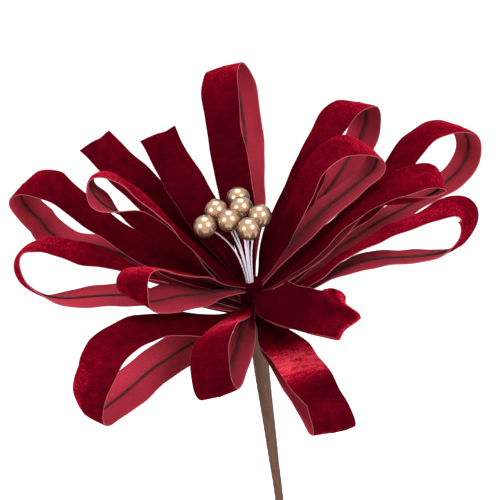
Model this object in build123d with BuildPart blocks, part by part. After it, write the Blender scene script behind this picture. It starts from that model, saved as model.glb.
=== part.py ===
from build123d import *
from collections import namedtuple
from math import cos, pi, radians, sin
import os

os.makedirs("parts", exist_ok=True)

# Pre-made velvet ribbon bow on a taped wire stem, millimetres.
# Origin at the stem's foot on its axis, +Z up the stem, the loops fan out round the hub.

# Ribbon
ribbon_width = 22.0
ribbon_thick = 1.0
neck_width = 4.2       # the strip is pinched to this where it is bound
gather_run = 56.0      # distance over which the pinched strip opens to full width
roll_run = 40.0        # distance over which the strip takes up its roll
loop_steps = 28
tail_steps = 12

# Covered wire glued along the centre of each strip's back
wire_r = 0.6           # six-sided
wire_gap = 0.08
wire_aside = wire_r + 0.2  # the two wire ends pass beside each other at the neck
neck_gap = ribbon_thick + wire_gap + 2 * wire_r + 0.12  # between a loop's two ends at the hub

# Hub, where every neck is bound
hub_z = 170.0
hub_r = 6.3
hub_h = 21.0
skirt_r = 4.6
skirt_h = 8.0
seat_r = 4.4
tier_pitch = 4.8
clearance = 0.3

# Stem
stem_wire_r = 1.6
tail_wire_r = 0.45
inner_ends_z = 80.0    # the wire ends come in two lengths, which tapers the stem
outer_ends_z = 118.0
tape_wall = 0.35
tape_slack = 0.4       # crepe tape bulges this much over the wires
binding_r = 0.45
binding_turns = 6

# Stamens
bead_r = 6.0
thread_r = 0.45
bunch_r = 1.5
bunch_z = hub_z + 4.0
thread_rise = 26.0
thread_seat = 2.5      # how far a thread goes into its bead
hole_depth = 3.0
hole_clearance = 0.35
socket_r = 3.0
cluster_z = hub_z + 50.0

# A strip is set by where its neck sits (seat azimuth, tier) and where its tip points
# (azimuth, elevation, reach). roll turns its plane about its own length, breadth is how
# far it opens, fullness moves the opening towards the tip, arch and sway bend its length,
# flare turns the strip about its edge at the tip. Degrees and millimetres.
Strip = namedtuple(
    "Strip", "number seat tier azimuth elevation reach roll breadth fullness arch sway flare"
)
loops = [
    Strip("01", 340, 1, -13, 21, 122, -11, 18, 3.0, -4, -6, -30),
    Strip("02", 2, 3, 7.5, 23, 115, 8, 19, 3.0, 3, 0, -50),
    Strip("03", 18, 4, 17, 40, 99, -2, 24, 3.5, 8, 0, 0),
    Strip("04", 36, 1, 29.5, 14, 155, -6, 32, 3.5, 6, 0, 0),
    Strip("05", 52, 2, 44, 33, 124, 0, 27, 3.5, 0, 3, 0),
    Strip("06", 85, 4, 88, 51, 128, -21, 30, 2.5, 0, 0, 0),
    Strip("07", 168, 3, 163, 42, 105, 25, 17, 3.0, 0, 0, 0),
    Strip("08", 148, 2, 152, 20, 144, -8, 29, 3.5, -6, 0, 0),
    Strip("09", 172, 1, 174, 16, 126, 51, 23, 3.0, -2, 0, 0),
    Strip("10", 214, 4, 214, 28, 82, 19, 21, 2.5, -1, 0, 0),
    Strip("11", 222, 1, 219, -5, 110, -15, 32, 3.0, 7, -4, 0),
    Strip("12", 254, 2, 252, -7, 75, 20, 20, 2.0, 6, 2, 0),
    Strip("13", 290, 1, 287, -10, 107, -5, 12, 3.0, 0, 0, 0),
    Strip("14", 300, 3, 298, 16, 91, 55, 14, 2.5, 0, 0, 0),
]
tails = [
    Strip("15", 138, 4, 125, 48, 102, -8, 0, 0, 0, 0, 0),
    Strip("16", 120, 3, 134, 32, 127, -14, 0, 0, 0, 0, 0),
]

# Bead places for 6 mm beads: azimuth, distance from the stem's axis, height in the cluster.
# They spread with the beads' radius.
bead_places = [
    (83, 4.4, 1), (158, 13.4, 1), (196, 19.7, -2), (224, 8.8, 0),
    (282, 15.1, -2), (338, 10.4, -1), (91, 17.2, 0.5),
]
bead_spread = bead_r / 6.0


def ease(x):
    x = min(max(x, 0.0), 1.0)
    return x * x * (3 - 2 * x)


def polar(azimuth, elevation, reach):
    level = reach * cos(radians(elevation))
    return Vector(
        level * cos(radians(azimuth)), level * sin(radians(azimuth)), reach * sin(radians(elevation))
    )


def breadth_scale(fullness):
    peak = max(sin(pi * i / 400) * sin(pi * i / 800) ** fullness for i in range(401))
    return 0.5 / peak


def path_point(strip, t):
    """Centre of a strip at parameter t, its across direction and its distance run.

    t goes 0 to 2 pi round a loop, and 0 to pi along a tail.
    """
    hub = Vector(0, 0, hub_z)
    start = hub + polar(strip.seat, 0, seat_r) + Vector(0, 0, (strip.tier - 2.5) * tier_pitch)
    tip = hub + polar(strip.azimuth, strip.elevation, strip.reach)
    along = (tip - start).normalized()
    level = Vector(0, 0, 1).cross(along).normalized()
    rise = along.cross(level)
    span = (tip - start).length
    run = span * (1 - cos(t)) / 2
    roll = radians(strip.roll) * ease(run / roll_run)
    across = level * cos(roll) + rise * sin(roll)
    opening = rise * cos(roll) - level * sin(roll)
    part_way = run / span
    bend = 6.75 * part_way * part_way * (1 - part_way)
    spread = strip.arch * bend
    if strip.breadth:
        spread += neck_gap / 2 * cos(t / 2)
        spread += (
            strip.breadth * breadth_scale(strip.fullness) * sin(t) * abs(sin(t / 2)) ** strip.fullness
        )
    return start + along * run + opening * spread + across * (strip.sway * bend), across, run


def stations(strip):
    """Frames along a strip: centre, across, inward normal, tangent and width there."""
    closed = strip.breadth > 0
    steps = loop_steps if closed else tail_steps
    last = 2 * pi if closed else pi
    frames = []
    for i in range(steps + 1):
        t = last * i / steps
        centre, across, run = path_point(strip, t)
        before = path_point(strip, max(t - 0.02, 0.0))[0]
        after = path_point(strip, min(t + 0.02, last))[0]
        tangent = (after - before).normalized()
        across = (across - tangent * across.dot(tangent)).normalized()
        inward = across.cross(tangent)
        turn = radians(strip.flare) * ease(1 - abs(t - pi) / (0.55 * pi)) if closed else 0.0
        side = across * cos(turn) + inward * sin(turn)
        inward = side.cross(tangent)
        width = neck_width + (ribbon_width - neck_width) * ease(run / gather_run)
        aside = wire_aside * cos(t / 2) * (1 - ease(run / roll_run)) if closed else 0.0
        frames.append((centre, side, inward, tangent, width, aside))
    return frames


def hub_relief():
    """Clears the hub and its running gap out of a neck."""
    with Locations((0, 0, hub_z)):
        Cylinder(hub_r + clearance, hub_h + 30, mode=Mode.SUBTRACT)


def save(part, name):
    part.label = name
    export_step(part, f"parts/{name}.step")


# Ribbon strips and the covered wires glued along their backs
for strip in loops + tails:
    kind = "loop" if strip.breadth else "tail"
    frames = stations(strip)

    with BuildPart() as ribbon:
        for centre, side, inward, tangent, width, aside in frames:
            with BuildSketch(Plane(origin=centre, x_dir=side, z_dir=tangent)):
                Rectangle(width, ribbon_thick)
        loft(ruled=True)
        hub_relief()
    save(ribbon.part, f"{kind}_ribbon_{strip.number}")

    with BuildPart() as glued_wire:
        for centre, side, inward, tangent, width, aside in frames:
            origin = centre + inward * (ribbon_thick / 2 + wire_gap + wire_r) + side * aside
            with BuildSketch(Plane(origin=origin, x_dir=side, z_dir=tangent)):
                RegularPolygon(wire_r, 6)
        loft(ruled=True)
        hub_relief()
    save(glued_wire.part, f"{kind}_wire_{strip.number}")

# Gathered hub: the bound strip ends, over a narrower skirt for the binding wire
hub_foot = hub_z - hub_h / 2
hub_top = hub_z + hub_h / 2
with BuildPart() as hub:
    with Locations((0, 0, hub_z)):
        Cylinder(hub_r, hub_h)
    fillet(hub.edges().filter_by(GeomType.CIRCLE), radius=0.8)
    with Locations((0, 0, hub_foot - skirt_h)):
        Cylinder(skirt_r, skirt_h + 1, align=(Align.CENTER, Align.CENTER, Align.MIN))
    with Locations((0, 0, hub_foot - skirt_h)):
        Cylinder(
            stem_wire_r + clearance, hub_h, align=(Align.CENTER, Align.CENTER, Align.MIN),
            mode=Mode.SUBTRACT,
        )
    with Locations((0, 0, hub_top)):
        Cylinder(
            socket_r, 9, align=(Align.CENTER, Align.CENTER, Align.MAX), mode=Mode.SUBTRACT
        )
save(hub.part, "gathered_hub")

# Binding wire wound round the hub's skirt
with BuildPart() as binding:
    for turn in range(binding_turns):
        height = hub_foot - skirt_h + 1.0 + turn * (2 * binding_r + 0.12)
        with BuildSketch(Plane.XZ):
            with Locations((skirt_r + binding_r + 0.05, height)):
                Circle(binding_r)
    revolve(axis=Axis.Z)
save(binding.part, "binding_wire")

# Stem wire, running up into the hub
with BuildPart() as stem_wire:
    Cylinder(stem_wire_r, hub_foot + 4, align=(Align.CENTER, Align.CENTER, Align.MIN))
    chamfer(stem_wire.edges().group_by(Axis.Z)[0], length=0.4)
save(stem_wire.part, "stem_wire")

# The loops' wire ends lie along the stem wire in two layers
tails_top = hub_foot - skirt_h - clearance
lay_gap = 0.05
inner_ring = stem_wire_r + lay_gap + tail_wire_r
outer_ring = inner_ring + 2 * tail_wire_r + lay_gap
with BuildPart() as inner_ends:
    with BuildSketch(Plane.XY.offset(inner_ends_z)):
        with PolarLocations(inner_ring, 12):
            Circle(tail_wire_r)
    extrude(amount=tails_top - inner_ends_z)
save(inner_ends.part, "inner_wire_ends")
with BuildPart() as outer_ends:
    with BuildSketch(Plane.XY.offset(outer_ends_z)):
        with PolarLocations(outer_ring, 18):
            Circle(tail_wire_r)
    extrude(amount=tails_top - outer_ends_z)
save(outer_ends.part, "outer_wire_ends")

# Stem tape, a tapering sleeve over the stem wire and the wire ends
tape_bore = stem_wire_r + lay_gap
tape_foot_r = tape_bore + 2 * tape_slack
inner_tape_r = inner_ring + tail_wire_r + tape_slack
outer_tape_r = outer_ring + tail_wire_r + tape_slack
with BuildPart() as tape:
    with BuildSketch(Plane.XZ):
        with BuildLine():
            Polyline(
                (tape_foot_r, 0),
                (tape_foot_r, inner_ends_z - 40),
                (tape_foot_r + 0.15, inner_ends_z - 20),
                (inner_tape_r + tape_wall, inner_ends_z + 12),
                (outer_tape_r + tape_wall, outer_ends_z + 4),
                (outer_tape_r + 2 * tape_wall, tails_top),
                (outer_tape_r + tape_wall, tails_top),
                (outer_tape_r, outer_ends_z + 4),
                (inner_tape_r, inner_ends_z + 12),
                (tape_foot_r + 0.15 - tape_wall, inner_ends_z - 20),
                (tape_bore, inner_ends_z - 40),
                (tape_bore, 0),
                close=True,
            )
        make_face()
    revolve(axis=Axis.Z)
save(tape.part, "stem_tape")

# Stamen threads rise from the hub's socket, each to its bead
order = sorted(bead_places[1:], key=lambda place: place[0])
bunch = [(bead_places[0], None)] + [(place, i) for i, place in enumerate(order)]
for number, (place, slot) in enumerate(bunch, start=1):
    azimuth, distance, height = place
    bead_centre = polar(azimuth, 0, distance * bead_spread)
    bead_centre += Vector(0, 0, cluster_z + height * bead_spread)
    if slot is None:
        foot = Vector(0, 0, bunch_z)
    else:
        foot = polar(60 * slot + 60, 0, bunch_r) + Vector(0, 0, bunch_z)
    rise = foot + Vector(0, 0, thread_rise)
    outward = (bead_centre - rise).normalized()
    thread_end = bead_centre - outward * (bead_r - thread_seat)
    lead = bead_centre - outward * 2 * bead_r

    with BuildPart() as thread:
        with BuildLine():
            Bezier(foot, rise, lead, thread_end)
        with BuildSketch(Plane(origin=foot, z_dir=(0, 0, 1))):
            Circle(thread_r)
        sweep()
    save(thread.part, f"stamen_thread_{number}")

    with BuildPart() as bead:
        with Locations(bead_centre):
            Sphere(bead_r)
        hole_foot = bead_centre - outward * (bead_r - hole_depth)
        with BuildSketch(Plane(origin=hole_foot, z_dir=-outward)):
            Circle(thread_r + hole_clearance)
        extrude(amount=bead_r, mode=Mode.SUBTRACT)
    save(bead.part, f"pearl_bead_{number}")

# Tie that holds the stamen threads together in the socket
with BuildPart() as tie:
    with BuildSketch(Plane.XZ):
        with Locations((bunch_r + thread_r + 0.35, bunch_z + 1.5)):
            Circle(0.3)
    revolve(axis=Axis.Z)
save(tie.part, "stamen_tie")
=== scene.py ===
import math
from collections import namedtuple

import bpy
import numpy as np
from mathutils import Matrix, Vector


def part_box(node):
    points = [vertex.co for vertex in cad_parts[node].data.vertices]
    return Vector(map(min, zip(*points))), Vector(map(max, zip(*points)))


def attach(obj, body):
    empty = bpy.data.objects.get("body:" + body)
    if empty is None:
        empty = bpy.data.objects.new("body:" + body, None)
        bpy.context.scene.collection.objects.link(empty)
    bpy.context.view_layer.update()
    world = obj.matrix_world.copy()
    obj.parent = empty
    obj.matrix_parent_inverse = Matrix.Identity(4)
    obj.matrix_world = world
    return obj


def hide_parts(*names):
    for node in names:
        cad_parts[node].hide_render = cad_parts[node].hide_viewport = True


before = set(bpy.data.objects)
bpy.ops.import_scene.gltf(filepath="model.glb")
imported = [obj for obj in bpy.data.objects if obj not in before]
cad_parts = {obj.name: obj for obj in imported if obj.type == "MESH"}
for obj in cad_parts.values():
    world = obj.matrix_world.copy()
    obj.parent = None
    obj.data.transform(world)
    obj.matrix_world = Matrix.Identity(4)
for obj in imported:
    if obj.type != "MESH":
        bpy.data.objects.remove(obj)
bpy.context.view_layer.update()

bl_info = {
    "name": "Velvet Gift Bow",
    "version": (1, 0, 0),
    "blender": (4, 5, 0),
    "location": "View3D > Sidebar > Gift Bow",
    "description": "Builds a wired velvet bow with pearl stamens on a taped stem",
    "category": "Add Mesh",
}

MM = 0.001

# The frame the solids share: stem foot at the origin, +Z up the stem
HUB_HEIGHT = 170.0 * MM
HUB_RADIUS = 6.3 * MM
HUB_TALL = 21.0 * MM
SKIRT_RADIUS = 4.6 * MM
SEAT_RADIUS = 4.4 * MM
TIER_PITCH = 4.8 * MM
NECK_GAP = 2.4 * MM
NECK_DEPTH = 1.2 * MM
BUNCH_HEIGHT = 174.0 * MM
BUNCH_RADIUS = 1.5 * MM

FADE_RUN = 24 * MM  # distance from the neck over which moves and twists set in
COLUMNS = 23  # points across a ribbon
CREASE_REACH = 0.05  # moves no longer than this come to a sharper peak
WIRE_SEAT = 0.86  # share of its radius that a glued wire stands off the cloth
TINY = 0.02 * MM  # radius of the rings that close a turned piece at its poles

# Where each strip's neck sits (seat azimuth, tier), where its tip points (azimuth, elevation,
# reach), roll about its own length, breadth it opens to, fullness towards the tip, arch and sway
# of its length, flare of its edge at the tip. Degrees and millimetres, as in the solids.
Strip = namedtuple(
    "Strip",
    "number seat tier azimuth elevation reach roll breadth fullness arch sway flare",
)
LOOPS = (
    Strip("01", 340, 1, -13, 21, 122, -11, 18, 3.0, -4, -6, -30),
    Strip("02", 2, 3, 7.5, 23, 115, 8, 19, 3.0, 3, 0, -50),
    Strip("03", 18, 4, 17, 40, 99, -2, 24, 3.5, 8, 0, 0),
    Strip("04", 36, 1, 29.5, 14, 155, -6, 32, 3.5, 6, 0, 0),
    Strip("05", 52, 2, 44, 33, 124, 0, 27, 3.5, 0, 3, 0),
    Strip("06", 85, 4, 88, 51, 128, -21, 30, 2.5, 0, 0, 0),
    Strip("07", 168, 3, 163, 42, 105, 25, 17, 3.0, 0, 0, 0),
    Strip("08", 148, 2, 152, 20, 144, -8, 29, 3.5, -6, 0, 0),
    Strip("09", 172, 1, 174, 16, 126, 51, 23, 3.0, -2, 0, 0),
    Strip("10", 214, 4, 214, 28, 82, 19, 21, 2.5, -1, 0, 0),
    Strip("11", 222, 1, 219, -5, 110, -15, 32, 3.0, 7, -4, 0),
    Strip("12", 254, 2, 252, -7, 75, 20, 20, 2.0, 6, 2, 0),
    Strip("13", 290, 1, 287, -10, 107, -5, 12, 3.0, 0, 0, 0),
    Strip("14", 300, 3, 298, 16, 91, 55, 14, 2.5, 0, 0, 0),
)
TAILS = (
    Strip("15", 138, 4, 125, 48, 102, -8, 0, 0, 0, 0, 0),
    Strip("16", 120, 3, 134, 32, 127, -14, 0, 0, 0, 0, 0),
)

# Bent shape of single strips, given one by one. A move shifts the cloth round one place: along is
# the share of the strip's length and reach its spread, shift the way in millimetres, over the
# place across, -1 to 1, and spread its reach across. A twist turns the cloth about its own length,
# in degrees. A patch is a painted highlight on the pile, or painted shade where its strength is
# negative.
WHOLE = 9  # a reach across that takes in the strip's whole width
Move = namedtuple("Move", "along reach shift over spread", defaults=(0, WHOLE))
Twist = namedtuple("Twist", "along reach turn")
Patch = namedtuple("Patch", "along reach strength")
Frames = namedtuple("Frames", "centre side inward width opened aside share length run")
MOVES = {
    "01": (
        Move(0.27, 0.14, (1.0, 3.6, 6.8)), Move(0.55, 0.06, (1.9, -1.1, -2.0)),
        Move(0.46, 0.05, (0.7, 0.8, 1.5)), Move(0.43, 0.07, (0.3, 0.9, 1.7), -1, 1.0),
        Move(0.76, 0.15, (1.6, 5.6, 10.5)),
    ),
    "02": (
        Move(0.27, 0.12, (0.9, 3.1, 6.0), -1, 1.1), Move(0.43, 0.12, (2.8, 0.2, 0.5)),
        Move(0.74, 0.12, (1.4, 4.9, 9.3)), Move(0.67, 0.13, (1.6, 5.4, 10.1), -1, 1.0),
    ),
    "03": (
        Move(0.42, 0.10, (0.4, 1.4, 2.7), 1, 1.2), Move(0.50, 0.025, (2.4, -0.9, -1.7), -1, 1.2),
    ),
    "04": (
        Move(0.28, 0.09, (3.4, -3.0, -5.5)), Move(0.42, 0.12, (1.7, 2.3, 4.3)),
        Move(0.57, 0.05, (2.6, 0.0, 0.0), -1, 1.2), Move(0.40, 0.08, (-0.4, -1.4, -2.7), -1, 1.0),
        Move(0.48, 0.02, (1.8, 0.2, 0.3), -1, 1.2),
    ),
    "05": (
        Move(0.15, 0.10, (-3.1, 0.2, 0.4), 1, 1.0), Move(0.42, 0.12, (0.2, 0.8, 1.5)),
        Move(0.48, 0.02, (1.6, 0.2, 0.4), -1, 1.0),
    ),
    "06": (Move(0.28, 0.15, (1.5, -0.1, -0.2), 1, 1.0),),
    "07": (
        Move(0.72, 0.12, (2.2, 1.9, 3.6)), Move(0.68, 0.10, (0.5, 1.4, 2.6), 1, 1.0),
        Move(0.33, 0.08, (-0.2, -0.6, -1.2), 1, 1.0),
    ),
    "08": (
        Move(0.34, 0.09, (0.2, 0.8, 1.5), 1, 1.0), Move(0.40, 0.08, (0.2, 0.7, 1.4)),
        Move(0.41, 0.05, (1.9, 1.1, 2.1), -1, 0.9), Move(0.50, 0.025, (-0.8, 0.1, 0.2), 1, 1.2),
        Move(0.555, 0.035, (3.4, -0.2, -0.4)), Move(0.62, 0.06, (-0.9, -1.4, -2.7)),
        Move(0.70, 0.10, (0.5, 2.2, 4.1)), Move(0.26, 0.09, (-1.5, -0.6, -1.1), -1, 1.0),
    ),
    "09": (
        Move(0.26, 0.12, (0.6, 2.0, 3.7), 1, 1.0), Move(0.47, 0.05, (1.6, -0.1, -0.2)),
        Move(0.60, 0.08, (-2.1, -1.6, -3.1)), Move(0.76, 0.12, (0.4, 1.4, 2.6)),
        Move(0.42, 0.05, (0.3, 1.0, 1.9), -1, 1.0),
    ),
    "10": (
        Move(0.30, 0.12, (-0.4, -1.3, -2.4), 1, 1.1), Move(0.50, 0.07, (3.8, -0.2, -0.4), 1, 1.0),
        Move(0.70, 0.14, (0.8, 2.7, 5.1)),
    ),
    "11": (
        Move(0.29, 0.17, (-2.4, 1.7, 3.3)), Move(0.39, 0.05, (-2.4, 0.1, 0.2), -1, 1.0),
        Move(0.45, 0.03, (2.0, 0.3, 0.5), -1, 0.9), Move(0.50, 0.06, (-3.2, -1.0, -2.0), 0, 0.8),
        Move(0.76, 0.12, (-1.4, 0.8, 1.6), -1, 1.0), Move(0.46, 0.06, (-1.9, 0.1, 0.2), -1, 1.1),
    ),
    "12": (
        Move(0.46, 0.20, (-1.0, 0.1, 0.1)), Move(0.50, 0.04, (0.3, -0.8, -1.6), 0, 0.6),
        Move(0.73, 0.12, (-2.1, 0.1, 0.2)),
    ),
    "13": (
        Move(0.22, 0.12, (2.2, 0.1, 0.2), 1, 1.0), Move(0.43, 0.025, (1.8, 0.3, 0.4), -0.9, 0.6),
        Move(0.47, 0.03, (-1.2, 1.4, 2.8), 0.1, 0.5),
        Move(0.50, 0.05, (-0.3, -1.0, -1.9), 0.3, 0.7),
        Move(0.70, 0.15, (2.1, -0.1, -0.2), -1, 1.0),
    ),
    "14": (
        Move(0.44, 0.025, (-1.5, 0.8, 1.5), 0.6, 0.5), Move(0.50, 0.06, (-5.4, 2.3, 4.6), 1, 0.7),
        Move(0.50, 0.06, (8.0, -0.2, -0.4), 0.05, 0.38),
        Move(0.50, 0.15, (0.2, 0.7, 1.4), -1, 1.0),
    ),
    "15": (
        Move(1.0, 0.10, (0.1, 0.3, 0.6)), Move(1.0, 0.06, (0.2, -0.5, -0.7), -0.4, 0.4),
    ),
    "16": (
        Move(1.0, 0.10, (-0.4, 0.5, 0.9)), Move(1.0, 0.06, (0.5, -0.4, -0.6), -0.3, 0.4),
    ),
}
TWISTS = {
    "01": (Twist(0.50, 0.12, 10), Twist(0.76, 0.14, 8)),
    "02": (Twist(0.50, 0.12, 34),),
    "07": (Twist(0.57, 0.06, -28), Twist(0.75, 0.15, 34)),
    "09": (Twist(0.32, 0.17, 60), Twist(0.72, 0.15, -56)),
    "10": (Twist(0.70, 0.15, -38),),
}
# Painted light on the pile of single strips: painted highlights, and painted shade where the
# strength is negative.
PAINTED_LIGHT_PATCHES = {
    "08": (Patch(0.41, 0.10, -0.1),),
    "10": (Patch(0.40, 0.06, 0.4),),
    "11": (Patch(0.44, 0.05, 0.35),),
    "12": (Patch(0.22, 0.09, 0.9),),
    "13": (Patch(0.26, 0.06, 2.3), Patch(0.41, 0.06, -0.4)),
    "14": (Patch(0.49, 0.035, 1.0), Patch(0.30, 0.15, -0.5)),
}
# Strips that open sooner after the neck than the rest, in millimetres
GATHERS = {"05": 32, "10": 36, "11": 42, "12": 43, "13": 38, "14": 22}


def ease(x):
    """Smooth step: 3x^2 - 2x^3 between 0 and 1."""
    x = np.clip(x, 0.0, 1.0)
    return x * x * (3 - 2 * x)


def unit(v):
    """Vectors divided by their own lengths."""
    return v / np.linalg.norm(v, axis=-1, keepdims=True)


def nearness(share, place, power=2.0):
    """exp(-|(share - along) / reach|^power) for a move, a twist or a patch."""
    return np.exp(-(np.abs((share - place.along) / place.reach) ** power))


def polar(azimuth, elevation, reach):
    """The point at that azimuth, elevation and distance from the origin."""
    a, e = math.radians(azimuth), math.radians(elevation)
    return reach * np.array([math.cos(e) * math.cos(a), math.cos(e) * math.sin(a), math.sin(e)])


def strip_line(strip, settings, t):
    """Centre line of a strip, the way across it and the distance run from its neck.

    run = span (1 - cos t) / 2 goes out to the tip and back. The two legs stand apart by the neck
    gap times cos(t/2) plus breadth times sin t |sin(t/2)|^fullness, scaled to its peak, and the
    whole bends by 6.75 x^2 (1 - x) times arch or sway, x being run over span.
    """
    hub = np.array([0, 0, HUB_HEIGHT])
    start = hub + polar(strip.seat, 0, SEAT_RADIUS) + [0, 0, (strip.tier - 2.5) * TIER_PITCH]
    tip = hub + polar(strip.azimuth, strip.elevation, strip.reach * MM)
    span = np.linalg.norm(tip - start)
    forward = (tip - start) / span
    level = unit(np.cross([0, 0, 1], forward))
    rise = np.cross(forward, level)
    run = span * (1 - np.cos(t)) / 2
    roll = math.radians(strip.roll) * ease(run / settings.roll_run)[:, None]
    across = level * np.cos(roll) + rise * np.sin(roll)
    opening = rise * np.cos(roll) - level * np.sin(roll)
    share = run / span
    bend = 6.75 * share**2 * (1 - share)
    spread = strip.arch * MM * bend
    if strip.breadth:
        turn = np.linspace(0, math.pi, 401)
        peak = np.max(np.sin(turn) * np.sin(turn / 2) ** strip.fullness)
        shape = np.sin(t) * np.abs(np.sin(t / 2)) ** strip.fullness / (2 * peak)
        spread = spread + NECK_GAP / 2 * np.cos(t / 2) + strip.breadth * MM * shape
    line = start + forward * run[:, None] + opening * spread[:, None]
    return line + across * (strip.sway * MM * bend)[:, None], across, run


def strip_frames(strip, settings, step):
    """Frames evenly spaced by length along the part of a strip that is outside the hub.

    Inward is side x tangent, towards the woven back. Width opens from the neck to the full ribbon
    by a smooth step of the distance run.
    """
    closed = strip.breadth > 0
    last = 2 * math.pi if closed else math.pi
    fine = np.linspace(0, last, 4001)
    line = strip_line(strip, settings, fine)[0]
    radius = np.hypot(line[:, 0], line[:, 1])
    outside = np.nonzero(radius > HUB_RADIUS - NECK_DEPTH)[0]
    fine, line = fine[outside], line[outside]
    travelled = np.r_[0, np.cumsum(np.linalg.norm(np.diff(line, axis=0), axis=1))]
    count = int(travelled[-1] / step) + 1
    t = np.interp(np.linspace(0, travelled[-1], count), travelled, fine)
    centre, across, run = strip_line(strip, settings, t)
    share = np.linspace(0, 1, count)
    tangent = unit(np.gradient(centre, axis=0))
    across = unit(across - tangent * np.sum(across * tangent, axis=1, keepdims=True))
    inward = np.cross(across, tangent)
    turn = np.zeros(count)
    if closed:
        turn = math.radians(strip.flare) * ease(1 - np.abs(t - math.pi) / (0.55 * math.pi))
    for twist in TWISTS.get(strip.number, ()):
        near = nearness(share, twist) * ease(run / FADE_RUN)
        turn = turn + math.radians(twist.turn) * near
    turn = turn[:, None]
    side = across * np.cos(turn) + inward * np.sin(turn)
    inward = np.cross(side, tangent)
    opened = ease(run / (GATHERS.get(strip.number, 0) * MM or settings.gather_run))
    width = settings.neck_width + (settings.ribbon_width - settings.neck_width) * opened
    aside = np.zeros(count)
    if closed:
        aside = settings.wire_aside * np.cos(t / 2) * (1 - ease(run / settings.roll_run))
    return Frames(centre, side, inward, width, opened, aside, share, travelled[-1], run)


def strip_relief(strip, frames, across, settings):
    """How far the cloth's middle surface stands off its flat section, inwards, on a grid.

    The sum of: pleats at the neck, cos(3 pi v / 2) deep as the width that is gathered away, a
    shallow cup of v^2, a ridge along the glued wire, and slow sine ripples that grow towards the
    edges. Ripple phases come from the strip's own number.
    """
    along = frames.share[:, None] * frames.length
    seed = int(strip.number)
    gathered = (1 - frames.opened)[:, None]
    fade = ease(frames.run / (9 * MM))[:, None]
    pleats = settings.pleat_depth * gathered * fade * np.cos(1.5 * math.pi * across)
    pleats = pleats + 0.35 * settings.pleat_depth * gathered * fade * np.sin(
        4.2 * math.pi * across + seed
    )
    cup = settings.edge_cup * frames.opened[:, None] * (across**2 - 0.35)
    ridge = -settings.wire_ridge * np.exp(-((across / 0.09) ** 2)) * frames.opened[:, None]
    ripple = np.sin(along / (5.3 * MM) + 1.7 * seed + 1.1 * across)
    ripple = ripple + 0.7 * np.sin(along / (11.9 * MM) + 2.9 * seed - 2.0 * across)
    ripple = ripple + 0.4 * np.sin(along / (2.6 * MM) + 0.6 * seed) * across
    edge = 0.25 + 0.75 * np.abs(across) ** 2.5
    wave = settings.edge_ripple * ripple * edge * frames.opened[:, None]
    return pleats + cup + ridge + wave


def strip_surface(strip, settings):
    """Middle surface of a strip as a grid, rows along it and columns across it.

    Point = centre + side (v width / 2 + wander) + inward (relief), plus each move's shift times
    exp(-((share - along) / reach)^2) exp(-((v - over) / spread)^2), where a crease has the power
    1.15 for the first 2. The wander is slow sines of the length that move the edges sideways.
    """
    frames = strip_frames(strip, settings, settings.row_step)
    columns = np.sin(np.linspace(-math.pi / 2, math.pi / 2, COLUMNS))
    v = columns[None, :]
    relief = strip_relief(strip, frames, v, settings)
    along = frames.share[:, None] * frames.length
    seed = int(strip.number)
    wander = np.sin(along / (9.7 * MM) + 2.1 * seed)
    wander = wander + 0.6 * np.sin(along / (4.1 * MM) + 1.3 * seed)
    wander = wander + v * np.sin(along / (6.3 * MM) + 0.7 * seed)
    over = v * frames.width[:, None] / 2 + settings.edge_wander * wander * frames.opened[:, None]
    grid = frames.centre[:, None, :] + frames.side[:, None, :] * over[..., None]
    grid = grid + frames.inward[:, None, :] * relief[..., None]
    fade = ease(frames.run / FADE_RUN)
    for move in MOVES.get(strip.number, ()):
        near = nearness(frames.share, move, 2.0 if move.reach > CREASE_REACH else 1.15) * fade
        pull = near[:, None] * np.exp(-(((v - move.over) / move.spread) ** 2))
        grid = grid + pull[..., None] * (np.array(move.shift) * MM)
    return grid, columns, frames


def outward_faces(points, faces):
    """The faces, each turned round if the closed surface they make has a negative volume."""
    a, b, c = points[faces[:, 0]], points[faces[:, 1]], points[faces[:, 2]]
    d = points[faces[:, 3]]
    volume = np.sum(a * np.cross(b, c)) + np.sum(a * np.cross(c, d))
    return faces[:, ::-1] if volume < 0 else faces


def make_mesh(name, points, faces, uv, slots=None):
    """An object at the origin with that mesh. uv is per point, slots the material of each face."""
    faces = outward_faces(points, faces)
    mesh = bpy.data.meshes.new(name)
    mesh.vertices.add(len(points))
    mesh.vertices.foreach_set("co", points.astype(np.float32).ravel())
    mesh.loops.add(faces.size)
    mesh.loops.foreach_set("vertex_index", faces.astype(np.int32).ravel())
    mesh.polygons.add(len(faces))
    mesh.polygons.foreach_set("loop_start", np.arange(0, faces.size, 4, dtype=np.int32))
    mesh.polygons.foreach_set("use_smooth", np.ones(len(faces), bool))
    if slots is not None:
        mesh.polygons.foreach_set("material_index", slots.astype(np.int32))
    layer = mesh.uv_layers.new(name="Cloth")
    layer.data.foreach_set("uv", uv[faces.ravel()].astype(np.float32).ravel())
    mesh.update(calc_edges=True)
    obj = bpy.data.objects.new(name, mesh)
    bpy.context.scene.collection.objects.link(obj)
    return obj


def ring_faces(rows, columns):
    """Quads of a grid whose columns close into rings, then a ladder of quads over each end ring."""
    i, j = np.meshgrid(np.arange(rows - 1), np.arange(columns), indexing="ij")
    a = i * columns + j
    b = i * columns + (j + 1) % columns
    sides = np.stack([a, b, b + columns, a + columns], axis=-1).reshape(-1, 4)
    k = np.arange((columns - 2) // 2)
    cap = np.stack([k, k + 1, columns - 2 - k, columns - 1 - k], axis=-1)
    return np.concatenate([sides, cap[:, ::-1], cap + (rows - 1) * columns])


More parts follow.
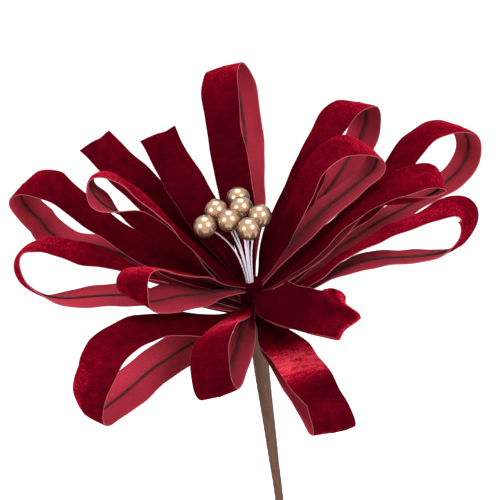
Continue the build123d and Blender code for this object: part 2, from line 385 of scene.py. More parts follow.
def make_strip(name, strip, settings):
    """A ribbon strip as a closed thin shell round its middle surface.

    Half the thickness falls off near both edges as a quarter circle. The first half of each ring
    of points is the pile, the second the woven back, and the selvage runs round all four edges.
    """
    grid, columns, frames = strip_surface(strip, settings)
    rows, count = grid.shape[:2]
    normal = unit(np.cross(np.gradient(grid, axis=1), np.gradient(grid, axis=0)))
    rim = np.clip((np.abs(columns) - 0.93) / 0.07, 0, 0.97)
    half = settings.thickness / 2 * np.sqrt(1 - rim**2)
    pile = grid - normal * half[None, :, None]
    back = grid + normal * half[None, :, None]
    points = np.concatenate([pile, back[:, ::-1]], axis=1).reshape(-1, 3)
    wide = 2 * count
    column = np.tile(np.arange(wide), rows - 1)
    slots = np.where(column < count, 0, 1)
    slots[np.isin(column, (0, count - 2, count - 1, count, wide - 2, wide - 1))] = 2
    slots = np.r_[slots, np.full(2 * (count - 1), 2)]
    along = np.repeat(frames.share * frames.length, wide)
    over = np.tile(np.r_[columns, columns[::-1]] * settings.ribbon_width / 2, rows)
    uv = np.stack([along, over], axis=-1)
    obj = make_mesh(name, points, ring_faces(rows, wide), uv, slots)
    # Painted light per point for the pile and back: painted shade that lifts from the neck, a
    # painted highlight at the crest, and painted patches of highlight or shade.
    painted_light = obj.data.attributes.new("PaintedLight", "FLOAT", "POINT")
    crest = 0.52 + 0.22 * np.exp(-(((frames.share - 0.47) / 0.09) ** 2))
    value = ease(frames.run / settings.neck_shade_run) * (crest if strip.breadth else 0.55)
    for patch in PAINTED_LIGHT_PATCHES.get(strip.number, ()):
        value = value + patch.strength * nearness(frames.share, patch)
    painted_light.data.foreach_set("value", np.repeat(np.maximum(value, 0), wide))
    return obj, frames, grid, normal


def make_tube(name, line, radius, guide, sides=12, twist=0.0, lobes=0.0):
    """A tube along a line of points with closed ends.

    Its rings are p + r (n cos a + b sin a), where n is the part of the guide direction g square
    to the tangent t, unit(g - t (g . t)), and b is t x n. The radius may carry two lobes,
    r (1 + lobes cos 2(a - twist s)), which look like two plies.
    """
    line = np.asarray(line, float)
    tangent = unit(np.gradient(line, axis=0))
    travelled = np.r_[0, np.cumsum(np.linalg.norm(np.diff(line, axis=0), axis=1))]
    guide = np.broadcast_to(np.asarray(guide, float), line.shape)
    normal = unit(guide - tangent * np.sum(guide * tangent, axis=1, keepdims=True))
    binormal = np.cross(tangent, normal)
    angle = np.linspace(0, 2 * math.pi, sides, endpoint=False)
    size = np.broadcast_to(np.asarray(radius, float), (len(line),))[:, None]
    size = size * (1 + lobes * np.cos(2 * (angle[None] - twist * travelled[:, None])))
    size = size * np.where(np.isin(np.arange(len(line)), (0, len(line) - 1)), 0.02, 1)[:, None]
    around = normal[:, None] * np.cos(angle)[None, :, None]
    around = around + binormal[:, None] * np.sin(angle)[None, :, None]
    points = (line[:, None] + around * size[..., None]).reshape(-1, 3)
    girth = 2 * math.pi * float(np.mean(size)) / sides
    uv = np.stack(
        [np.repeat(travelled, sides), np.tile(np.arange(sides) * girth, len(line))], axis=-1
    )
    return make_mesh(name, points, ring_faces(len(line), sides), uv)


def close_ends(line):
    """The line with its first and last points doubled, so that a tube's ends close flat."""
    first = line[0] - unit(line[1] - line[0]) * TINY
    last = line[-1] + unit(line[-1] - line[-2]) * TINY
    return np.concatenate([[first], line, [last]])


def make_turned(name, radius, height, sides=96, ripple=None):
    """A surface of revolution about the stem's axis from a closed-ended profile.

    radius and height run from one pole to the other; ripple adds to the radius as a function of
    angle and height.
    """
    angle = np.linspace(0, 2 * math.pi, sides, endpoint=False)
    size = np.repeat(np.asarray(radius, float)[:, None], sides, axis=1)
    if ripple is not None:
        size = size + ripple(angle[None, :], np.asarray(height)[:, None]) * (size > 0.5 * MM)
    rise = np.repeat(np.asarray(height, float)[:, None], sides, axis=1)
    points = np.stack([size * np.cos(angle), size * np.sin(angle), rise], axis=-1).reshape(-1, 3)
    uv = np.stack([rise.ravel(), np.tile(angle * float(np.max(radius)), len(radius))], axis=-1)
    return make_mesh(name, points, ring_faces(len(radius), sides), uv)


# Materials


def new_group(name, inputs, outputs):
    """A shader node group with those named sockets, given as (name, type, default)."""
    group = bpy.data.node_groups.new(name, "ShaderNodeTree")
    for label, kind, default in inputs:
        socket = group.interface.new_socket(label, in_out="INPUT", socket_type=kind)
        if default is not None:
            socket.default_value = default
    for label, kind, _ in outputs:
        group.interface.new_socket(label, in_out="OUTPUT", socket_type=kind)
    return group, group.nodes.new("NodeGroupInput"), group.nodes.new("NodeGroupOutput")


def feed(tree, socket, value):
    """Sets a socket to a number, or links an output to it."""
    if isinstance(value, (int, float)):
        socket.default_value = value
    else:
        tree.links.new(value, socket)


def math_node(tree, operation, *values):
    """A Math node with its inputs linked or set, and its output."""
    node = tree.nodes.new("ShaderNodeMath")
    node.operation = operation
    for socket, value in zip(node.inputs, values):
        feed(tree, socket, value)
    return node.outputs[0]


def noise_node(tree, vector, scale, detail=2.0, roughness=0.5, distortion=0.0):
    """A Noise Texture node, and its factor."""
    node = tree.nodes.new("ShaderNodeTexNoise")
    tree.links.new(vector, node.inputs["Vector"])
    feed(tree, node.inputs["Scale"], scale)
    node.inputs["Detail"].default_value = detail
    node.inputs["Roughness"].default_value = roughness
    node.inputs["Distortion"].default_value = distortion
    return node.outputs["Fac"]


def ramp_node(tree, factor, stops):
    """A Color Ramp node with those (place, colour) stops, and its colour."""
    node = tree.nodes.new("ShaderNodeValToRGB")
    ramp = node.color_ramp
    while len(ramp.elements) < len(stops):
        ramp.elements.new(0.5)
    for element, (place, colour) in zip(ramp.elements, stops):
        element.position = place
        element.color = (*colour, 1.0)
    tree.links.new(factor, node.inputs["Fac"])
    return node.outputs["Color"]


def range_node(tree, value, low, high):
    """A Map Range node that takes low to high onto 0 to 1, and its result."""
    node = tree.nodes.new("ShaderNodeMapRange")
    tree.links.new(value, node.inputs["Value"])
    node.inputs["From Min"].default_value = low
    node.inputs["From Max"].default_value = high
    return node.outputs["Result"]


def cloth_uv(tree, stretch=None, turn=0.0):
    """The piece's UV, in metres along and around it, stretched and turned where that is asked."""
    node = tree.nodes.new("ShaderNodeUVMap")
    node.uv_map = "Cloth"
    if stretch is None:
        return node.outputs["UV"]
    mapping = tree.nodes.new("ShaderNodeMapping")
    mapping.inputs["Scale"].default_value = (1.0, stretch, 1.0)
    mapping.inputs["Rotation"].default_value = (0.0, 0.0, turn)
    tree.links.new(node.outputs["UV"], mapping.inputs["Vector"])
    return mapping.outputs["Vector"]


def bump_node(tree, shader, height, strength, distance):
    """A Bump node from that height into the shader's normal."""
    node = tree.nodes.new("ShaderNodeBump")
    node.inputs["Strength"].default_value = strength
    node.inputs["Distance"].default_value = distance
    tree.links.new(height, node.inputs["Height"])
    tree.links.new(node.outputs["Normal"], shader.inputs["Normal"])


def nap_group():
    """Velvet nap: crushed patches, streaks along the strip and fine pile specks.

    The patch value mixes three noises of falling size; the height is the specks' noise.
    """
    if "Velvet Nap" in bpy.data.node_groups:
        return bpy.data.node_groups["Velvet Nap"]
    group, given, out = new_group(
        "Velvet Nap",
        [("Patch Scale", "NodeSocketFloat", 90.0), ("Speck Scale", "NodeSocketFloat", 1600.0)],
        [
            ("Nap", "NodeSocketFloat", 0.5), ("Specks", "NodeSocketFloat", 0.0),
            ("Height", "NodeSocketFloat", 0.5),
        ],
    )
    lean = cloth_uv(group, 0.45, 0.2)
    patch = noise_node(group, lean, given.outputs["Patch Scale"], 2.0, 0.5, 0.4)
    blotch = noise_node(group, lean, 420.0, 3.0, 0.6, 0.3)
    speck = noise_node(group, cloth_uv(group), given.outputs["Speck Scale"], 2.0, 0.6)
    nap = math_node(group, "MULTIPLY", patch, 0.25)
    nap = math_node(group, "MULTIPLY_ADD", blotch, 0.37, nap)
    nap = math_node(group, "MULTIPLY_ADD", speck, 0.38, nap)
    group.links.new(range_node(group, nap, 0.36, 0.66), out.inputs["Nap"])
    group.links.new(range_node(group, speck, 0.56, 0.72), out.inputs["Specks"])
    height = math_node(group, "MULTIPLY_ADD", speck, 0.6, math_node(group, "MULTIPLY", blotch, 0.8))
    group.links.new(height, out.inputs["Height"])
    return group


def weave_group():
    """Plain weave: threads along and across as |sin| ridges, with a slub noise on top."""
    if "Plain Weave" in bpy.data.node_groups:
        return bpy.data.node_groups["Plain Weave"]
    group, given, out = new_group(
        "Plain Weave",
        [("Threads", "NodeSocketFloat", 5200.0)],
        [("Weave", "NodeSocketFloat", 0.5), ("Height", "NodeSocketFloat", 0.5)],
    )
    uv = cloth_uv(group)
    split = group.nodes.new("ShaderNodeSeparateXYZ")
    group.links.new(uv, split.inputs["Vector"])
    ridges = []
    for axis in ("X", "Y"):
        phase = math_node(group, "MULTIPLY", split.outputs[axis], given.outputs["Threads"])
        ridges.append(math_node(group, "ABSOLUTE", math_node(group, "SINE", phase)))
    both = math_node(group, "MULTIPLY", ridges[0], ridges[1])
    slub = noise_node(group, uv, 900.0, 4.0, 0.75)
    cloud = noise_node(group, uv, 70.0, 2.0, 0.5)
    tone = math_node(group, "MULTIPLY_ADD", both, 0.2, math_node(group, "MULTIPLY", slub, 0.75))
    tone = math_node(group, "MULTIPLY_ADD", cloud, 0.25, tone)
    group.links.new(tone, out.inputs["Weave"])
    height = math_node(group, "MULTIPLY_ADD", slub, 0.5, math_node(group, "MULTIPLY", both, 0.5))
    group.links.new(height, out.inputs["Height"])
    return group


def paper_group():
    """Crepe paper: fine creases across the wrap from a stretched noise, and soft blotches."""
    if "Crepe Paper" in bpy.data.node_groups:
        return bpy.data.node_groups["Crepe Paper"]
    group, given, out = new_group(
        "Crepe Paper",
        [("Creases", "NodeSocketFloat", 2200.0)],
        [("Tone", "NodeSocketFloat", 0.5), ("Height", "NodeSocketFloat", 0.5)],
    )
    crease = noise_node(group, cloth_uv(group, 0.22, 0.35), given.outputs["Creases"], 3.0, 0.65)
    cloud = noise_node(group, cloth_uv(group), 220.0, 3.0, 0.55)
    tone = math_node(group, "MULTIPLY_ADD", crease, 0.55, math_node(group, "MULTIPLY", cloud, 0.45))
    group.links.new(tone, out.inputs["Tone"])
    group.links.new(crease, out.inputs["Height"])
    return group


def principled(name):
    """A new material with that name, its node tree and its Principled shader."""
    material = bpy.data.materials.new(name)
    material.use_nodes = True
    return material, material.node_tree, material.node_tree.nodes["Principled BSDF"]


def new_material(name, group, tone, stops, roughness, bump, bump_depth):
    """A Principled material coloured by a group's tone over a ramp, with its height as bump."""
    material, tree, shader = principled(name)
    place = tree.nodes.new("ShaderNodeGroup")
    place.node_tree = group
    tree.links.new(ramp_node(tree, place.outputs[tone], stops), shader.inputs["Base Color"])
    shader.inputs["Roughness"].default_value = roughness
    bump_node(tree, shader, place.outputs["Height"], bump, bump_depth)
    return material, shader, place


def painted_light_value(tree):
    """Painted light of a strip: 0 at its neck as painted shade, 1 where it is fully open."""
    node = tree.nodes.new("ShaderNodeAttribute")
    node.attribute_name = "PaintedLight"
    return node.outputs["Fac"]


def velvet_pile():
    """Burgundy pile: near black looked into, red where the nap is crushed, and a painted sheen
    where it is grazed.

    The ramp's factor is (grazing (0.3 + 0.75 nap) + 0.33 nap + specks (0.15 + 1.1 grazing)) times
    (0.2 + 0.8 painted light). Grazing is a painted sheen from the angle the pile is seen at, the
    specks turn into painted glints where it grazes, and the painted light is the strip's painted
    shade at the neck and painted highlight at the crest.
    """
    settings = bpy.context.scene.bow_ribbon
    if "Velvet Pile" in bpy.data.materials:
        return bpy.data.materials["Velvet Pile"]
    deep, lit = settings.pile_deep, settings.pile_lit
    low = [a + (b - a) * 0.28 for a, b in zip(deep, lit)]
    bright = [min(1.0, 1.75 * b + 0.025) for b in lit]
    stops = [(0.0, deep), (0.32, low), (0.68, lit), (1.0, bright)]
    material, shader, place = new_material(
        "Velvet Pile", nap_group(), "Nap", stops, 0.85, 0.45, 0.3 * MM
    )
    tree = material.node_tree
    # Painted sheen: the pile is painted redder as the view grazes it.
    painted_sheen = tree.nodes.new("ShaderNodeLayerWeight")
    painted_sheen.inputs["Blend"].default_value = 0.42
    patchy = math_node(tree, "MULTIPLY_ADD", place.outputs["Nap"], 0.75, 0.3)
    mixed = math_node(tree, "MULTIPLY", painted_sheen.outputs["Facing"], patchy)
    mixed = math_node(tree, "MULTIPLY_ADD", place.outputs["Nap"], 0.33, mixed)
    # Painted glints: the pile specks are painted brighter where the view grazes the pile.
    speck = math_node(tree, "MULTIPLY_ADD", painted_sheen.outputs["Facing"], 1.1, 0.15)
    speck = math_node(tree, "MULTIPLY", place.outputs["Specks"], speck)
    mixed = math_node(tree, "ADD", speck, mixed)
    # Painted shade near the neck and painted highlight at the crest, from the strip's painted
    # light.
    shade = math_node(tree, "MULTIPLY_ADD", painted_light_value(tree), 0.8, 0.2)
    mixed = math_node(tree, "MULTIPLY", mixed, shade)
    ramp = shader.inputs["Base Color"].links[0].from_node
    tree.links.new(mixed, ramp.inputs["Fac"])
    shader.inputs["Specular IOR Level"].default_value = 0.0
    shader.inputs["Sheen Weight"].default_value = 0.04
    shader.inputs["Sheen Roughness"].default_value = 0.35
    shader.inputs["Sheen Tint"].default_value = (1.0, 0.01, 0.04, 1.0)
    return material


def velvet_back():
    """Rose-red woven back of the velvet, with painted shade near the neck and a painted highlight
    at the crest.
    """
    if "Woven Back" in bpy.data.materials:
        return bpy.data.materials["Woven Back"]
    colour = bpy.context.scene.bow_ribbon.back_colour
    dark = [0.3 * c for c in colour]
    light = [min(1.0, 1.25 * c) for c in colour]
    stops = [(0.12, dark), (0.42, colour), (0.75, light)]
    material, shader, _ = new_material(
        "Woven Back", weave_group(), "Weave", stops, 0.9, 0.3, 0.15 * MM
    )
    tree = material.node_tree
    # Painted shade near the neck and painted highlight at the crest, from the strip's painted
    # light.
    shade = math_node(tree, "MULTIPLY_ADD", painted_light_value(tree), 0.6, 0.4)
    ramp = shader.inputs["Base Color"].links[0].from_node
    tone = math_node(tree, "MULTIPLY", ramp.inputs["Fac"].links[0].from_socket, shade)
    tree.links.new(tone, ramp.inputs["Fac"])
    shader.inputs["Specular IOR Level"].default_value = 0.08
    shader.inputs["Sheen Weight"].default_value = 0.03
    shader.inputs["Sheen Tint"].default_value = (1.0, 0.3, 0.4, 1.0)
    return material


def selvage():
    """Pale pinkish thread along the ribbon's two edges and its cut ends."""
    if "Selvage Thread" in bpy.data.materials:
        return bpy.data.materials["Selvage Thread"]
    colour = bpy.context.scene.bow_ribbon.edge_colour
    dark = [0.6 * c for c in colour]
    material, shader, _ = new_material(
        "Selvage Thread", weave_group(), "Weave", [(0.2, dark), (0.75, colour)], 0.85, 0.3,
        0.1 * MM,
    )
    shader.inputs["Specular IOR Level"].default_value = 0.2
    return material


def paper_material(name, dark, light, roughness=0.85):
    """Crepe or wrapped paper between two tones."""
    if name in bpy.data.materials:
        return bpy.data.materials[name]
    material, shader, _ = new_material(
        name, paper_group(), "Tone", [(0.3, dark), (0.75, light)], roughness, 0.5, 0.15 * MM
    )
    shader.inputs["Specular IOR Level"].default_value = 0.06
    return material


def wrapped_wire():
    """Dark brown paper of the covered wires."""
    return paper_material("Wrapped Wire", (0.022, 0.006, 0.006), (0.065, 0.028, 0.024))


def drawn_wire():
    """Bare drawn wire with faint lengthwise marks."""
    if "Drawn Wire" in bpy.data.materials:
        return bpy.data.materials["Drawn Wire"]
    material, shader, _ = new_material(
        "Drawn Wire", paper_group(), "Tone",
        [(0.3, (0.07, 0.05, 0.045)), (0.8, (0.16, 0.13, 0.12))], 0.38, 0.15, 0.05 * MM,
    )
    shader.inputs["Metallic"].default_value = 0.9
    return material


def pearl_coat():
    """Champagne pearl: a soft metallic body under a clear coat, with a faint cloudy tone and
    painted shade towards its rim.
    """
    if "Champagne Pearl" in bpy.data.materials:
        return bpy.data.materials["Champagne Pearl"]
    colour = bpy.context.scene.bow_stamens.bead_colour
    deep = [0.72 * c for c in colour]
    material, tree, shader = principled("Champagne Pearl")
    place = tree.nodes.new("ShaderNodeTexCoord")
    cloud = noise_node(tree, place.outputs["Object"], 260.0, 3.0, 0.55)
    # Painted shade: the colour darkens to the rim as the surface turns away from the view.
    rim = tree.nodes.new("ShaderNodeLayerWeight")
    rim.inputs["Blend"].default_value = 0.35
    tone = math_node(tree, "MULTIPLY_ADD", cloud, 0.4, 0.65)
    tone = math_node(tree, "SUBTRACT", tone, rim.outputs["Facing"])
    stops = [(0.1, [0.3 * c for c in colour]), (0.5, deep), (0.85, colour)]
    tree.links.new(ramp_node(tree, tone, stops), shader.inputs["Base Color"])
    grain = noise_node(tree, place.outputs["Object"], 2600.0, 2.0, 0.5)
    bump_node(tree, shader, grain, 0.06, 0.05 * MM)
    shader.inputs["Metallic"].default_value = 0.75
    shader.inputs["Roughness"].default_value = 0.24
    shader.inputs["Coat Weight"].default_value = 0.7
    shader.inputs["Coat Roughness"].default_value = 0.12
    return material


def stamen_fibre():
    """Stiffened lilac-white thread with faint plies."""
    if "Stamen Fibre" in bpy.data.materials:
        return bpy.data.materials["Stamen Fibre"]
    colour = bpy.context.scene.bow_stamens.thread_colour
    dark = [0.7 * c for c in colour]
    material, shader, _ = new_material(
        "Stamen Fibre", weave_group(), "Weave", [(0.2, dark), (0.7, colour)], 0.55, 0.3, 0.1 * MM
    )
    shader.inputs["Subsurface Weight"].default_value = 0.15
    shader.inputs["Subsurface Radius"].default_value = (0.5 * MM, 0.4 * MM, 0.5 * MM)
    return material


def plain_surface(name, colour, roughness):
    """A pale studio surface with a barely visible tone."""
    material, tree, shader = principled(name)
    place = tree.nodes.new("ShaderNodeTexCoord")
    cloud = noise_node(tree, place.outputs["Object"], 1.5, 1.0)
    stops = [(0.3, [0.985 * c for c in colour]), (0.7, colour)]
    tree.links.new(ramp_node(tree, cloud, stops), shader.inputs["Base Color"])
    shader.inputs["Roughness"].default_value = roughness
    return material


# Settings


def length(name, description, default, low, high):
    """A length property, with its default and its limits in millimetres."""
    return bpy.props.FloatProperty(
        name=name, description=description, default=default * MM, min=low * MM, max=high * MM,
        unit="LENGTH",
    )


def colour(name, description, default):
    """A colour property."""
    return bpy.props.FloatVectorProperty(
        name=name, description=description, default=default, min=0, max=1, subtype="COLOR",
    )


class BowRibbonSettings(bpy.types.PropertyGroup):
    """Sizes and colours of the ribbon strips and their glued wires"""

    ribbon_width: length("Ribbon width", "Width of the velvet ribbon", 22, 5, 60)
    thickness: length("Thickness", "Thickness of the velvet with its pile", 0.75, 0.2, 2)
    neck_width: length("Neck width", "Width the strip is pinched to at the hub", 6.0, 1, 20)
    gather_run: length(
        "Gather run", "Distance over which the strip opens to full width", 48, 5, 120
    )
    roll_run: length("Roll run", "Distance over which the strip takes up its roll", 40, 5, 120)
    pleat_depth: length("Pleat depth", "Depth of the pleats at the neck", 1.3, 0, 4)
    edge_cup: length("Edge cup", "How far the edges curl to the back", 0.5, -3, 3)
    edge_ripple: length("Edge ripple", "Size of the slow ripples along the edges", 0.5, 0, 2)
    edge_wander: length("Edge wander", "How far the edges stray sideways", 0.22, 0, 2)
    wire_ridge: length("Wire ridge", "Height of the ridge over the glued wire", 0.25, 0, 1)
    wire_radius: length("Wire radius", "Radius of the paper-covered wire", 0.62, 0.2, 2)
    wire_aside: length("Wire aside", "How far the two wire ends pass beside each other", 0.8, 0, 3)
    # Run over which the painted shade at the neck lifts off the pile and back.
    neck_shade_run: length(
        "Lie run", "Distance over which the pile lightens out from the neck", 90, 5, 200
    )
    row_step: length("Row step", "Spacing of the mesh rows along a strip", 1.1, 0.4, 5)
    # Ends of the pile's ramp: the nap picks between them, and so do the painted sheen, painted
    # glints and painted shade.
    pile_deep: colour("Pile, deep", "Colour looked into the pile", (0.014, 0.0, 0.0015))
    pile_lit: colour("Pile, lit", "Colour of the crushed pile", (0.23, 0.001, 0.012))
    back_colour: colour("Back", "Colour of the woven back", (0.28, 0.016, 0.032))
    edge_colour: colour("Edge", "Colour of the edge threads", (0.34, 0.06, 0.08))


class BowStamenSettings(bpy.types.PropertyGroup):
    """Sizes and colours of the stamens"""

    thread_radius: length("Thread radius", "Radius of a stamen thread", 0.45, 0.1, 2)
    hole_radius: length("Hole radius", "Radius of a bead's hole", 0.8, 0.2, 3)
    bead_colour: colour("Bead", "Colour of the pearls", (0.44, 0.265, 0.155))
    thread_colour: colour("Thread", "Colour of the threads", (0.72, 0.66, 0.76))


class BowStemSettings(bpy.types.PropertyGroup):
    """Tape of the stem"""

    wrap_pitch: length("Wrap pitch", "Rise of the tape in one turn", 5.5, 1, 30)
    wrap_step: length("Wrap step", "Height of the step where the tape overlaps itself", 0.14, 0, 1)
    tape_dark: colour("Tape, dark", "Darker tone of the tape", (0.062, 0.030, 0.021))
    tape_light: colour("Tape, light", "Lighter tone of the tape", (0.125, 0.066, 0.048))


class BowStageSettings(bpy.types.PropertyGroup):
    """Camera, floor and surroundings"""

    view_rise: bpy.props.FloatProperty(
        name="View rise", description="Height of the camera over the bow's level",
        default=math.radians(28), subtype="ANGLE",
    )
    lean: bpy.props.FloatProperty(
        name="Lean", description="Lean of the stem in the view", default=math.radians(-7.6),
        subtype="ANGLE",
    )
    distance: bpy.props.FloatProperty(
        name="Distance", description="Distance from the camera to the bow", default=0.75,
        unit="LENGTH",
    )
    lens: bpy.props.FloatProperty(
        name="Lens", description="Focal length of the camera", default=101.9, min=10, max=300,
        unit="CAMERA",
    )
    floor_depth: bpy.props.FloatProperty(
        name="Floor depth", description="How far the floor lies under the stem's foot",
        default=0.35, unit="LENGTH",
    )
    fill: bpy.props.FloatProperty(
        name="Fill", description="Strength of the white surroundings", default=1.0, min=0, max=5,
    )


# Operators


def dress(obj, body, slot_name, *materials):
    """Gives a piece its materials and rides it on a body; the slot name is not used."""
    for material in materials:
        obj.data.materials.append(material)
    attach(obj, body)
    return obj


def recolour(name, material):
    """Gives a solid that is kept as it is in the frame that material alone."""
    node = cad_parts[name]
    node.data.materials.clear()
    node.data.materials.append(material)


def strip_pieces(strip, kind, settings):
    """One ribbon strip and the covered wire glued along its back."""
    body = f"{kind}_{strip.number}"
    ribbon, frames, grid, normal = make_strip(f"velvet_{body}", strip, settings)
    dress(ribbon, body, "velvet_ribbon", velvet_pile(), velvet_back(), selvage())
    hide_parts(f"{kind}_ribbon_{strip.number}")
    middle = grid.shape[1] // 2
    line = grid[:, middle]
    lift = settings.thickness / 2 + settings.wire_radius * WIRE_SEAT
    line = line + normal[:, middle] * lift + frames.side * frames.aside[:, None]
    keep = np.hypot(line[:, 0], line[:, 1]) > HUB_RADIUS
    side = frames.side[keep]
    wire = make_tube(
        f"covered_wire_{strip.number}", close_ends(line[keep]), settings.wire_radius,
        np.concatenate([side[:1], side, side[-1:]]),
    )
    dress(wire, body, "covered_wire", wrapped_wire())
    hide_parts(f"{kind}_wire_{strip.number}")


class BOW_OT_loops(bpy.types.Operator):
    """Folds the velvet strips into loops, each with its glued wire"""

    bl_idname = "bow.loops"
    bl_label = "Ribbon loops"

    def execute(self, context):
        for strip in LOOPS:
            strip_pieces(strip, "loop", context.scene.bow_ribbon)
        return {"FINISHED"}


class BOW_OT_tails(bpy.types.Operator):
    """Cuts the two short tails, each with its glued wire"""

    bl_idname = "bow.tails"
    bl_label = "Ribbon tails"

    def execute(self, context):
        for strip in TAILS:
            strip_pieces(strip, "tail", context.scene.bow_ribbon)
        return {"FINISHED"}


def profile(corners, step):
    """Points along straight runs between corners, evenly about a step apart."""
    corners = np.asarray(corners, float)
    out = [corners[:1]]
    for a, b in zip(corners[:-1], corners[1:]):
        count = max(1, int(np.linalg.norm(b - a) / step))
        share = np.linspace(0, 1, count + 1)[1:, None]
        out.append(a + (b - a) * share)
    return np.concatenate(out)


class BOW_OT_hub(bpy.types.Operator):
    """Gathers the strip ends into the pleated hub"""

    bl_idname = "bow.hub"
    bl_label = "Pleated hub"

    def execute(self, context):
        low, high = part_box("gathered_hub")
        top, foot = high.z, low.z
        shoulder = top - HUB_TALL
        outer, neck = HUB_RADIUS - 0.1 * MM, SKIRT_RADIUS - 0.1 * MM
        line = profile(
            [
                (TINY, foot), (neck, foot), (neck, shoulder - 0.3 * MM),
                (HUB_RADIUS - 0.7 * MM, shoulder), (outer, shoulder + 0.8 * MM),
                (outer, top - 1.4 * MM), (HUB_RADIUS - 1.2 * MM, top - 0.2 * MM),
                (3.4 * MM, top - 0.2 * MM), (2.9 * MM, top - 0.8 * MM), (2.6 * MM, top - 6 * MM),
                (TINY, top - 6 * MM),
            ],
            0.5 * MM,
        )

        def pleat(angle, height):
            """Minus depth times (1 - the square root of |sin(11 a + 40 z + a slow wave)|)."""
            fold = np.abs(np.sin(11 * angle + 40 * height + 0.6 * np.sin(3 * angle)))
            return -0.75 * MM * (1 - fold**0.5)

        hub = make_turned("pleated_hub", line[:, 0], line[:, 1], 220, pleat)
        # The hub carries no painted light attribute, so the pile paints it at its deepest painted
        # shade.
        dress(hub, "stem", "velvet_ribbon", velvet_pile())
        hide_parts("gathered_hub")
        return {"FINISHED"}


class BOW_OT_binding(bpy.types.Operator):
    """Winds the binding wire round the hub's skirt"""

    bl_idname = "bow.binding"
    bl_label = "Binding wire"

    def execute(self, context):
        low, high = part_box("binding_wire")
        radius = 0.45 * MM
        turns = 5.6
        share = np.linspace(0, 1, 420)
        angle = 2 * math.pi * turns * share
        around = high.x - radius
        height = low.z + radius + (high.z - low.z - 2 * radius) * share
        line = np.stack([around * np.cos(angle), around * np.sin(angle), height], axis=-1)
        wire = make_tube("binding_coil", close_ends(line), radius, (0, 0, 1), 10)
        dress(wire, "stem", "bare_wire", drawn_wire())
        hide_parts("binding_wire")
        return {"FINISHED"}


class BOW_OT_stem(bpy.types.Operator):
    """Wraps the stem in overlapping tape and finishes the wires inside it"""

    bl_idname = "bow.stem"
    bl_label = "Taped stem"

    def execute(self, context):
        settings = context.scene.bow_stem
        low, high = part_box("stem_tape")
        line = profile(
            [
                (TINY, low.z), (2.2 * MM, low.z), (2.4 * MM, low.z + 0.3 * MM),
                (2.5 * MM, 40 * MM), (2.8 * MM, 60 * MM), (3.5 * MM, 92 * MM),
                (4.2 * MM, 122 * MM), (4.5 * MM, high.z - 0.3 * MM), (4.3 * MM, high.z),
                (TINY, high.z),
            ],
            0.7 * MM,
        )

        def wrap(angle, height):
            """Tape step: a saw-tooth of the turn that the tape has made at that height."""
            turn = height / settings.wrap_pitch + angle / (2 * math.pi)
            tooth = turn - np.floor(turn)
            slow = 0.10 * MM * np.sin(height / (7.0 * MM) + 2 * np.cos(angle))
            return settings.wrap_step * (tooth**3 - 0.6) + 0.5 * slow - 0.03 * MM

        tape = make_turned("wrapped_tape", line[:, 0], line[:, 1], 72, wrap)
        material = paper_material("Stem Tape", settings.tape_dark, settings.tape_light, 0.8)
        dress(tape, "stem", "stem_tape", material)
        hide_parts("stem_tape")
        recolour("stem_wire", drawn_wire())
        recolour("inner_wire_ends", wrapped_wire())
        recolour("outer_wire_ends", wrapped_wire())
        return {"FINISHED"}


def bead_places():
    """Each bead's centre and radius, read from its solid's box."""
    places = []
    for number in range(1, 8):
        low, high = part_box(f"pearl_bead_{number}")
        centre = np.array((low + high) / 2)
        places.append((number, centre, (high.z - low.z) / 2))
    return places


def thread_points(number, bead):
    """Foot, rise and bead centre of a thread: six feet stand evenly round the first one."""
    foot = np.array([0, 0, BUNCH_HEIGHT])
    if number > 1:
        foot = foot + polar(60 * (number - 1), 0, BUNCH_RADIUS)
    rise = foot + [0, 0, 26 * MM]
    return foot, rise, unit(bead - rise)


class BOW_OT_stamens(bpy.types.Operator):
    """Stands the stamen threads in the hub and puts a pearl on each"""

    bl_idname = "bow.stamens"
    bl_label = "Stamens and pearls"

    def execute(self, context):
        settings = context.scene.bow_stamens
        for number, centre, radius in bead_places():
            foot, rise, outward = thread_points(number, centre)
            lead = centre - outward * (radius + 6 * MM)
            end = centre - outward * (radius - 2.5 * MM)
            s = np.linspace(0, 1, 70)[:, None]
            line = (
                (1 - s) ** 3 * foot + 3 * s * (1 - s) ** 2 * rise
                + 3 * s**2 * (1 - s) * lead + s**3 * end
            )
            thread = make_tube(
                f"stamen_{number}", close_ends(line), settings.thread_radius * 0.92, (0, 1, 0),
                14, 900.0, 0.08,
            )
            dress(thread, "stamen_bunch", "stamen_thread", stamen_fibre())
            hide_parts(f"stamen_thread_{number}")
            bead = self.bead(f"pearl_{number}", centre, radius, outward, settings.hole_radius)
            dress(bead, "stamen_bunch", "pearl", pearl_coat())
            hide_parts(f"pearl_bead_{number}")
        recolour("stamen_tie", stamen_fibre())
        return {"FINISHED"}

    @staticmethod
    def bead(name, centre, radius, outward, hole):
        """A pearl turned about its thread: a ball with a rounded mouth and a blind hole."""
        mouth = math.asin(hole / radius)
        polar_angle = np.linspace(math.pi - mouth * 1.25, 0.004, 56)
        across = radius * np.sin(polar_angle)
        along = radius * np.cos(polar_angle)
        wall = np.array(
            [
                [TINY, -radius + 3 * MM], [hole * 0.98, -radius + 3 * MM],
                [hole, -radius + 1 * MM], [hole * 1.05, -radius + 0.35 * MM],
            ]
        )
        across = np.r_[wall[:, 0], across]
        along = np.r_[wall[:, 1], along]
        side = unit(np.cross(outward, [0.2, 0.1, 0.9]))
        up = np.cross(outward, side)
        sides = 64
        angle = np.linspace(0, 2 * math.pi, sides, endpoint=False)
        ring = side * np.cos(angle)[:, None] + up * np.sin(angle)[:, None]
        points = centre + across[:, None, None] * ring[None] + along[:, None, None] * outward
        uv = np.stack([np.repeat(along, sides), np.tile(angle * radius, len(across))], axis=-1)
        return make_mesh(name, points.reshape(-1, 3), ring_faces(len(across), sides), uv)


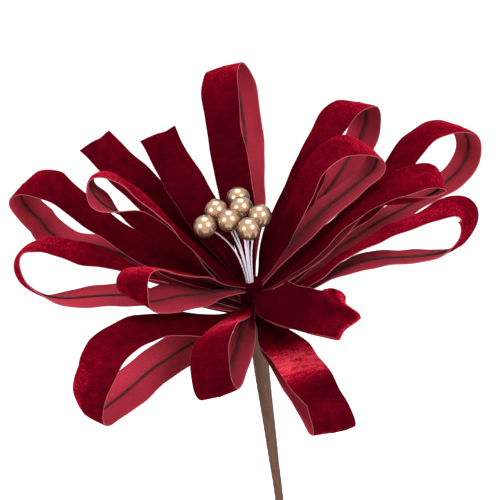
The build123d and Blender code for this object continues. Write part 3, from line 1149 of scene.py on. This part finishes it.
class BOW_OT_stage(bpy.types.Operator):
    """Lays the pale floor and sets the lights and the camera"""

    bl_idname = "bow.stage"
    bl_label = "Stage"

    def execute(self, context):
        scene, settings = context.scene, context.scene.bow_stage
        size, level = 8.0, -settings.floor_depth
        corners = ((-size, -size), (size, -size), (size, size), (-size, size))
        mesh = bpy.data.meshes.new("studio_floor")
        mesh.from_pydata([(x, y, level) for x, y in corners], [], [(0, 1, 2, 3)])
        floor = bpy.data.objects.new("studio_floor", mesh)
        scene.collection.objects.link(floor)
        floor.data.materials.append(plain_surface("Pale Floor", (0.93, 0.93, 0.93), 0.9))

        world = bpy.data.worlds.new("White Room")
        world.use_nodes = True
        ground = world.node_tree.nodes["Background"]
        ground.inputs["Color"].default_value = (1.0, 1.0, 1.0, 1.0)
        ground.inputs["Strength"].default_value = settings.fill
        scene.world = world
        scene.view_settings.view_transform = "Standard"

        target = Vector((0, 0, HUB_HEIGHT + 40 * MM))
        for name, place, width, power in (
            ("key_softbox", (0.75, -0.75, 0.95), 0.45, 16.0),
            ("side_softbox", (-0.85, -0.60, 0.75), 0.40, 9.0),
            ("top_softbox", (0.05, 0.25, 1.25), 0.7, 10.0),
        ):
            light = bpy.data.lights.new(name, "AREA")
            light.size = width
            light.energy = power
            lamp = bpy.data.objects.new(name, light)
            lamp.location = place
            lamp.rotation_euler = (target - Vector(place)).to_track_quat("-Z", "Y").to_euler()
            scene.collection.objects.link(lamp)

        rise, lean = settings.view_rise, settings.lean
        across = Vector((1, 0, 0))
        upright = Vector((0, math.sin(rise), math.cos(rise)))
        back = Vector((0, -math.cos(rise), math.sin(rise)))
        right = across * math.cos(lean) + upright * math.sin(lean)
        up = upright * math.cos(lean) - across * math.sin(lean)
        aim = Vector((0, 0, HUB_HEIGHT)) - right * (1.06 * MM) + up * (24.9 * MM)
        camera = bpy.data.objects.new("camera", bpy.data.cameras.new("camera"))
        camera.data.lens = settings.lens
        camera.location = aim + back * settings.distance
        camera.rotation_euler = Matrix((right, up, back)).transposed().to_euler()
        scene.collection.objects.link(camera)
        scene.camera = camera
        return {"FINISHED"}


class BOW_PT_panel(bpy.types.Panel):
    """Buttons and sizes of the gift bow"""

    bl_idname = "BOW_PT_panel"
    bl_label = "Gift Bow"
    bl_space_type = "VIEW_3D"
    bl_region_type = "UI"
    bl_category = "Gift Bow"

    def draw(self, context):
        for operator in OPERATORS:
            self.layout.operator(operator.bl_idname)
        for group in (
            context.scene.bow_ribbon, context.scene.bow_stamens, context.scene.bow_stem,
            context.scene.bow_stage,
        ):
            column = self.layout.column()
            for name in group.__annotations__:
                column.prop(group, name)


OPERATORS = (
    BOW_OT_stage, BOW_OT_loops, BOW_OT_tails, BOW_OT_hub, BOW_OT_binding, BOW_OT_stem,
    BOW_OT_stamens,
)
SETTINGS = {
    "bow_ribbon": BowRibbonSettings,
    "bow_stamens": BowStamenSettings,
    "bow_stem": BowStemSettings,
    "bow_stage": BowStageSettings,
}


def register():
    for cls in (*SETTINGS.values(), *OPERATORS, BOW_PT_panel):
        bpy.utils.register_class(cls)
    for name, cls in SETTINGS.items():
        setattr(bpy.types.Scene, name, bpy.props.PointerProperty(type=cls))


def unregister():
    for name in SETTINGS:
        delattr(bpy.types.Scene, name)
    for cls in reversed((*SETTINGS.values(), *OPERATORS, BOW_PT_panel)):
        bpy.utils.unregister_class(cls)


def main():
    register()
    bpy.ops.bow.stage()
    bpy.ops.bow.hub()
    bpy.ops.bow.loops()
    bpy.ops.bow.tails()
    bpy.ops.bow.binding()
    bpy.ops.bow.stem()
    bpy.ops.bow.stamens()


if __name__ == "__main__":
    main()
